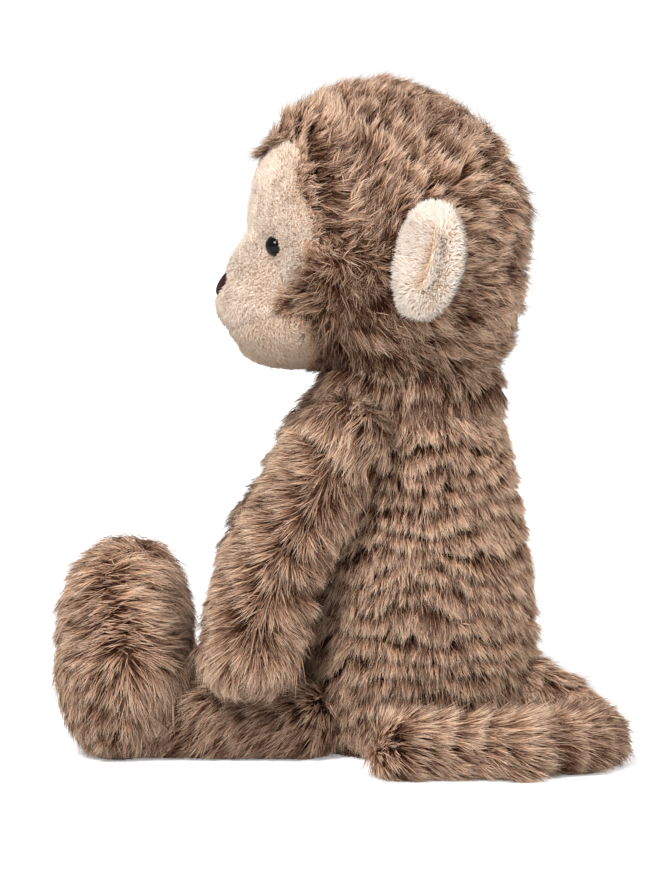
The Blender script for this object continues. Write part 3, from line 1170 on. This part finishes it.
def pad_point(a, b, proud):
    """A place on the nose: a across and b up, each -1 to 1 within the oval."""
    r2 = np.minimum(a * a + b * b, 1)
    x, z = a * 7.3, NOSE_Z + b * (4.7 - 0.5 * np.abs(a)) + 0.5 * np.abs(a)
    return np.stack([x, on_muzzle(x, z) - proud * (1 - r2) ** 0.45 + 0.5 * r2, z], 1)


rings, around = 12, 48
ang = np.arange(around) / around * 2 * math.pi
verts, faces = [pad_point(np.zeros(1), np.zeros(1), 2.1)], []
for k in range(1, rings + 1):
    q = math.sin(k / rings * math.pi / 2)
    verts.append(pad_point(q * np.cos(ang), q * np.sin(ang), 2.1))
verts.append(verts[-1] * (0.96, 1, 1) + (0, 1.4, 0))
verts = np.concatenate(verts)
for k in range(around):
    k2 = (k + 1) % around
    faces.append((0, 1 + k, 1 + k2))
    for j in range(rings):
        base = 1 + j * around
        faces.append((base + k, base + around + k, base + around + k2, base + k2))
faces.append(tuple(1 + rings * around + k for k in range(around)))
pad = mesh_object("nose_pad", verts / 1000, faces, SUEDE)
bm = bmesh.new()
bm.from_mesh(pad.data)
bmesh.ops.recalc_face_normals(bm, faces=bm.faces)
bm.to_mesh(pad.data)
bm.free()
pad.data.polygons.foreach_set("use_smooth", np.ones(len(pad.data.polygons), bool))
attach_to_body(pad, "head")
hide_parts("nose")
r = np.random.default_rng(44)
lines = []
for b_ in np.linspace(-0.93, 0.93, 27):
    half = math.sqrt(1 - b_ * b_) * 0.98
    a_ = np.linspace(-half, half, 15)
    q = pad_point(a_, np.full(15, b_) + 0.015 * r.normal(), 2.1)
    q[:, 1] -= 0.1
    lines.append(q)
lines = np.stack(lines)
ob = strand_mesh("nose_stitches", lines, np.full(14, 0.2), np.broadcast_to(np.array([0, -1.0, 0.1]), (len(lines), 3)), 0.5 + 0.2 * r.normal(size=len(lines)), THREAD, 0.3, sides=5)
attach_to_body(ob, "head")

# ------------------------------------------------------------------ ears
for word, m in (("left", 1), ("right", -1)):
    ear = skin(f"ear_{word}_skin", [f"ear_{word}_front_panel", f"ear_{word}_back_panel"], 0.9, 3)
    # the sewn edge of the ear runs nearly straight from top to bottom
    c = np.array([m * 55.4, 1.8, 169.4])
    u_ = unit(np.array([m * 0.74, 0.6726, 0.0]))
    v0 = np.array([0, math.sin(math.radians(16)), math.cos(math.radians(16))])
    w_ = unit(np.cross(u_, v0)) * m
    v_ = unit(np.cross(w_, u_) * m)
    e_ = coords(ear.data)
    qu, qv = (e_ - c) @ u_, (e_ - c) @ v_
    oval = np.minimum(12.0, 14.0 * np.sqrt(np.maximum(1 - (qv / 18.9) ** 2, 0.04)))
    wanted = 11.6 - 3.2 * smooth(np.abs(qv), 13, 19)
    grow_by = np.where(qu < 0, np.maximum(wanted / oval, 1.0), 1.0)
    grow_by = 1 + (np.minimum(grow_by, 1.7) - 1) * smooth(-qu, -1, 3)
    set_coords(ear.data, eased(ear.data, e_ + u_ * (qu * (grow_by - 1))[:, None], 3))
    padded(ear, cap=0.6)
    body = f"ear_{word}"
    S = Surface(ear)
    show(ear, EAR_BACK, riding(body), f"ear_{word}_front_panel", f"ear_{word}_back_panel")
    c = np.array([m * 55.4, 1.8, 169.4])
    u_ = unit(np.array([m * 0.74, 0.6726, 0.0]))
    v0 = np.array([0, math.sin(math.radians(16)), math.cos(math.radians(16))])
    w_ = unit(np.cross(u_, v0)) * m
    v_ = unit(np.cross(w_, u_) * m)
    p, n = S.scatter(6.5 * DENS, 91 + m)
    q = p - c
    qu, qv, qw = q @ u_, q @ v_, q @ w_
    front = w_ if (w_[1] < 0) or (w_[0] * m > 0 and abs(w_[1]) < 0.2) else -w_
    hollow = c + u_ * 2.6
    line_pt = hollow + v_ * np.clip(qv, -10, 10)[:, None] + u_ * (0.22 * np.clip(qv, -10, 10))[:, None]
    flow = unit(p - line_pt + 1e-4) + v_ * (0.12 * qv / 10)[:, None]
    rr = np.hypot((qu + 2) / 14, qv / 18.6)
    facing = n @ front
    inner = smooth(-rr, -0.85, -0.6) * smooth(facing, 0.2, 0.6)
    cleft = np.exp(-(((qu - 2.0 - 0.22 * qv) / 1.5) ** 2)) * smooth(-np.abs(qv + 1), -12, -6) * smooth(facing, 0.2, 0.6)
    r = np.random.default_rng(9)
    depth = waves(85, 4.5)(p)
    reach = 1.5 + 0.7 * inner + 0.3 * depth + np.abs(r.normal(size=len(p))) * 0.5
    high = 1.9 + 0.2 * inner - 0.9 * cleft + 0.2 * depth + r.normal(size=len(p)) * 0.25
    flow = flow + np.cross(n, flow) * (0.5 * waves(87, 5)(p) + 0.5 * r.normal(size=len(p)))[:, None]
    tone = 0.74 - 0.14 * inner - 0.6 * cleft + 0.12 * waves(86, 3)(p) + r.normal(size=len(p)) * 0.24
    centre, ra, rb, rc = locks(p, 2.2, 55)
    grow(f"{body}_pile", p, n, flow, reach, high, np.clip(tone, 0.02, 0.98), EAR, riding(body), lock=centre, pull=(0.25, 0.1), radius=0.15, soft=0.65, seed=13 + m, stray=0.3)

# ------------------------------------------------------------------ eyes, nose and what lies inside
for o in (NODES["eye_left"], NODES["eye_right"]):
    o.data.materials.clear()
    o.data.materials.append(EYE)
    o.data.polygons.foreach_set("use_smooth", np.ones(len(o.data.polygons), bool))
for name, o in NODES.items():
    if name.endswith("stuffing"):
        mat = FIBRE
    elif name.endswith("bean_bag"):
        mat = BEANS
    elif name.endswith("washer"):
        mat = WASHER
    elif name == "nose":
        mat = SUEDE
    else:
        continue
    o.data.materials.clear()
    o.data.materials.append(mat)

# ------------------------------------------------------------------ floor, light and camera
white, nt, bsdf, link = tree("studio_floor")
co_ = nt.nodes.new("ShaderNodeTexCoord")
nz = nt.nodes.new("ShaderNodeTexNoise")
nz.inputs["Scale"].default_value = 3
link.new(co_.outputs["Object"], nz.inputs["Vector"])
rp = ramp(nt, [(0.3, (0.86, 0.86, 0.86)), (0.7, (0.88, 0.88, 0.88))])
link.new(nz.outputs["Fac"], rp.inputs[0])
link.new(rp.outputs[0], bsdf.inputs["Base Color"])
bsdf.inputs["Roughness"].default_value = 0.9
bsdf.inputs["Emission Color"].default_value = (1, 1, 1, 1)
lp = nt.nodes.new("ShaderNodeLightPath")
gain = nt.nodes.new("ShaderNodeMapRange")
gain.inputs["To Min"].default_value = 0.0
far = nt.nodes.new("ShaderNodeVectorMath")
far.operation = "LENGTH"
link.new(co_.outputs["Object"], far.inputs[0])
fade = nt.nodes.new("ShaderNodeMapRange")
fade.interpolation_type = "SMOOTHSTEP"
fade.inputs["From Min"].default_value = 0.2
fade.inputs["From Max"].default_value = 1.0
fade.inputs["To Min"].default_value = 0.36
fade.inputs["To Max"].default_value = 1.0
link.new(far.outputs["Value"], fade.inputs["Value"])
link.new(fade.outputs["Result"], gain.inputs["To Max"])
link.new(lp.outputs["Is Camera Ray"], gain.inputs["Value"])
link.new(gain.outputs["Result"], bsdf.inputs["Emission Strength"])
bpy.ops.mesh.primitive_circle_add(vertices=96, radius=4.0, fill_type="NGON", location=(0, 0, 0))
floor = bpy.context.object
floor.name = "studio_ground"
floor.data.materials.append(white)
# the ground stays under the lowest limb when the toy is posed
foot_marks = [("studio_level", None, (0, 0, 0))]
for word, m in (("left", 1), ("right", -1)):
    foot_marks += [(f"foot_{word}_mark_{k}", f"foot_{word}", (m * 23.5, y, 0)) for k, y in enumerate((-74, -84, -98, -112))]
    foot_marks += [(f"leg_{word}_mark_{k}", f"leg_{word}", (m * 19, y, 0)) for k, y in enumerate((-54, -66, -78))]
    foot_marks += [(f"hand_{word}_mark", f"arm_{word}", (m * 43, -57.5, 19))]
foot_marks += [("tail_middle_mark", "tail_middle", (60, 44, 0)), ("tail_tip_mark", "tail_tip", (64, -6, 0)), ("tail_bend_mark", "tail_base", (40, 55, 0.5))]
drop = floor.driver_add("location", 2).driver
drop.type = "MIN"
for name, body, at in foot_marks:
    e = bpy.data.objects.new(name, None)
    scene.collection.objects.link(e)
    e.location = [v * MM for v in at]
    if body:
        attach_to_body(e, body)
    v = drop.variables.new()
    v.name = name
    v.type = "TRANSFORMS"
    v.targets[0].id = e
    v.targets[0].transform_type = "LOC_Z"
    v.targets[0].transform_space = "WORLD_SPACE"

world = bpy.data.worlds.new("studio")
scene.world = world
world.use_nodes = True
wt = world.node_tree
wb = wt.nodes["Background"]
seen = wt.nodes.new("ShaderNodeLightPath")
level = wt.nodes.new("ShaderNodeMapRange")
level.inputs["To Min"].default_value = 0.38
level.inputs["To Max"].default_value = 1.05
wt.links.new(seen.outputs["Is Camera Ray"], level.inputs["Value"])
wt.links.new(level.outputs["Result"], wb.inputs["Strength"])
wb.inputs[0].default_value = (1, 1, 1, 1)


def area(name, at, size, power, aim=(0, -0.02, 0.1)):
    d = bpy.data.lights.new(name, "AREA")
    d.size = size
    d.energy = power
    o = bpy.data.objects.new(name, d)
    scene.collection.objects.link(o)
    o.location = at
    o.rotation_euler = (Vector(aim) - Vector(at)).to_track_quat("-Z", "Y").to_euler()
    return o


area("key", (1.45, -0.55, 1.3), 0.5, 44)
area("back", (0.95, 1.25, 0.95), 0.6, 14)
area("top", (-0.2, 0.1, 1.9), 1.0, 8)

cam = bpy.data.cameras.new("camera")
co = bpy.data.objects.new("camera", cam)
scene.collection.objects.link(co)
scene.camera = co
el, dist = math.radians(5.2), 1.6
target = Vector((0, -0.0306, 0.1054))
co.location = target + Vector((math.cos(el), 0, math.sin(el))) * dist
co.rotation_euler = (target - co.location).to_track_quat("-Z", "Y").to_euler()
cam.sensor_width = 36
cam.lens = 36 * dist * 1000 / 299.2
cam.clip_start, cam.clip_end = 0.05, 30
scene.view_settings.view_transform = "Standard"
scene.view_settings.look = "None"
